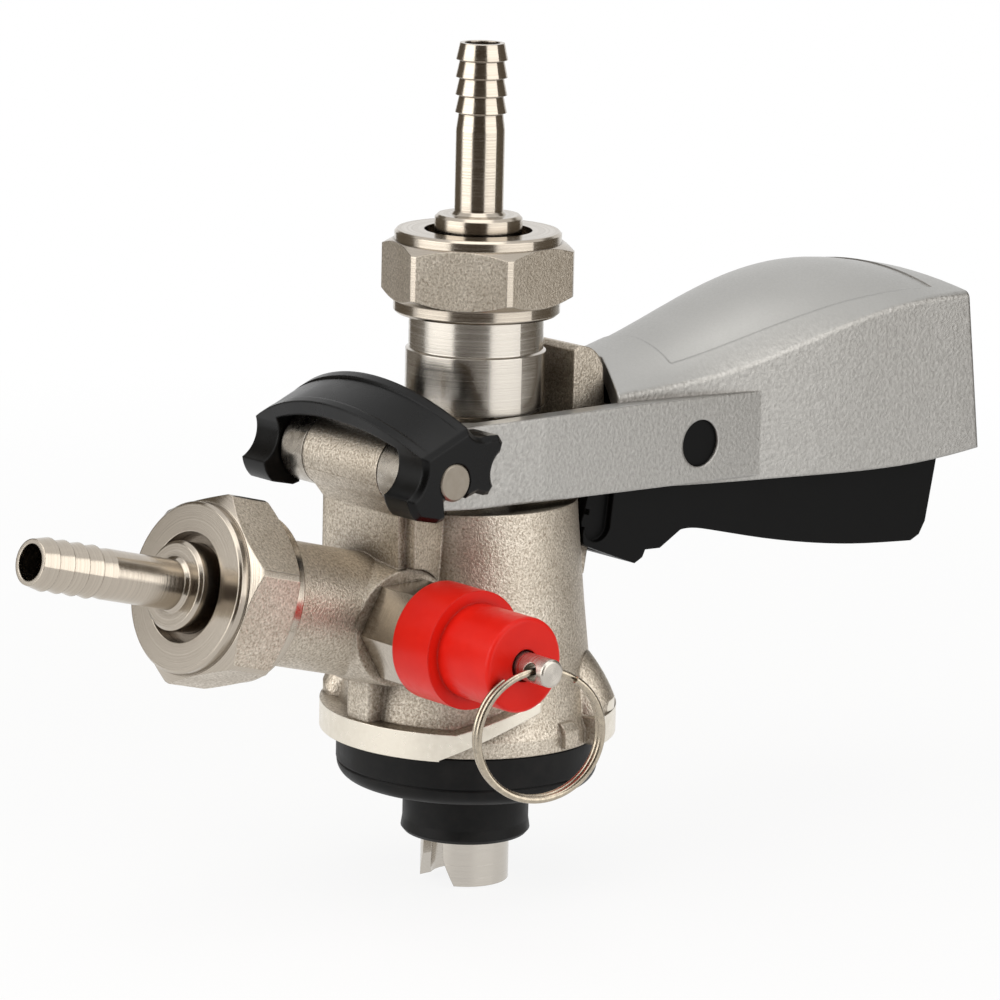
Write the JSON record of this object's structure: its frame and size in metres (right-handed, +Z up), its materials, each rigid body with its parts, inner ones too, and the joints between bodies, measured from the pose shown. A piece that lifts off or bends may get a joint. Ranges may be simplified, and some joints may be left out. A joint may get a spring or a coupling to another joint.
{
  "type": "keg coupler",
  "caption": "Twist-on keg coupler with a hinged lever handle and squeeze trigger, a sliding beer probe, union nuts with hose barbs, and a red-capped relief valve with a pull ring",
  "frame": {"origin": "centre of the flange's underside on the probe's axis, where the coupler meets the keg's neck", "axes": "+Z runs up the probe towards the beer outlet, +Y along the handle, -Y along the gas inlet, and +X along the hinge pin towards the relief valve"},
  "size_m": [0.0698, 0.1805, 0.1345],
  "materials": {
    "nickel_cast": "sandblasted nickel plate on a brass casting",
    "nickel_polished": "polished nickel plate on turned brass",
    "nickel_nut": "sandblasted nickel plate with turned collars",
    "stainless_turned": "fine turned stainless steel",
    "handle_alloy": "bead blasted satin casting",
    "black_moulded": "satin moulded nylon",
    "black_rubber": "smooth moulded rubber",
    "red_plastic": "satin gloss moulded cap",
    "steel_ring": "bright drawn spring steel",
    "spring_steel": "drawn spring wire",
    "pin_alloy": "turned satin aluminium",
    "pin_steel": "ground stainless pin",
    "ball_plastic": "smooth acetal ball"
  },
  "bodies": {
    "coupler_body": {"body_casting": "nickel_cast", "bottom_washer": "black_rubber", "shaft_seals": "black_rubber", "gas_nut": "nickel_nut", "gas_gasket": "black_rubber", "gas_tail": "nickel_polished", "gas_check_valve": "black_rubber", "relief_body": "nickel_polished", "relief_cap": "red_plastic", "relief_spring": "spring_steel"},
    "handle": {"handle_casting": "handle_alloy", "hinge_pin": "pin_steel", "hinge_clip": "black_moulded", "drive_pins": "pin_steel", "trigger_pin": "black_moulded", "trigger_spring": "spring_steel"},
    "trigger": {"trigger_lever": "black_moulded"},
    "probe": {"probe": "stainless_turned", "probe_seal": "black_rubber", "ball_cage": "stainless_turned", "beer_nut": "nickel_nut", "beer_gasket": "black_rubber", "beer_tail": "nickel_polished"},
    "check_ball": {"check_ball": "ball_plastic"},
    "relief_stem": {"pull_pin": "pin_alloy", "relief_seal": "black_rubber"},
    "pull_ring": {"split_ring": "steel_ring"}
  },
  "joints": [
    {"name": "handle_lift", "type": "hinge", "parent": "coupler_body", "child": "handle", "pos_m": [0, -0.0216, 0.0458], "axis": [1, 0, 0], "range_deg": [0, 28]},
    {"name": "probe_travel", "type": "slide", "parent": "coupler_body", "child": "probe", "axis": [0, 0, 1], "range_m": [0, 0.0107]},
    {"name": "trigger_squeeze", "type": "hinge", "parent": "handle", "child": "trigger", "pos_m": [0, 0.0352, 0.0445], "axis": [1, 0, 0], "range_deg": [0, 8], "stiffness_Nm_per_rad": 0.5, "springref_deg": -11.46, "deforming": ["trigger_spring"]},
    {"name": "ball_lift", "type": "slide", "parent": "probe", "child": "check_ball", "axis": [0, 0, 1], "range_m": [0, 0.0045]},
    {"name": "relief_pull", "type": "slide", "parent": "coupler_body", "child": "relief_stem", "axis": [1, 0, 0], "range_m": [0, 0.0025], "stiffness_N_per_m": 800, "springref_m": -0.004, "deforming": ["relief_spring"]},
    {"name": "ring_swing", "type": "hinge", "parent": "relief_stem", "child": "pull_ring", "pos_m": [0.0422, -0.022, 0.0208], "axis": [0, -1, 0], "range_deg": [0, 75]}
  ],
  "couplings": [
    {"joint": "probe_travel", "follows": "handle_lift", "m_per_rad": 0.02171}
  ]
}
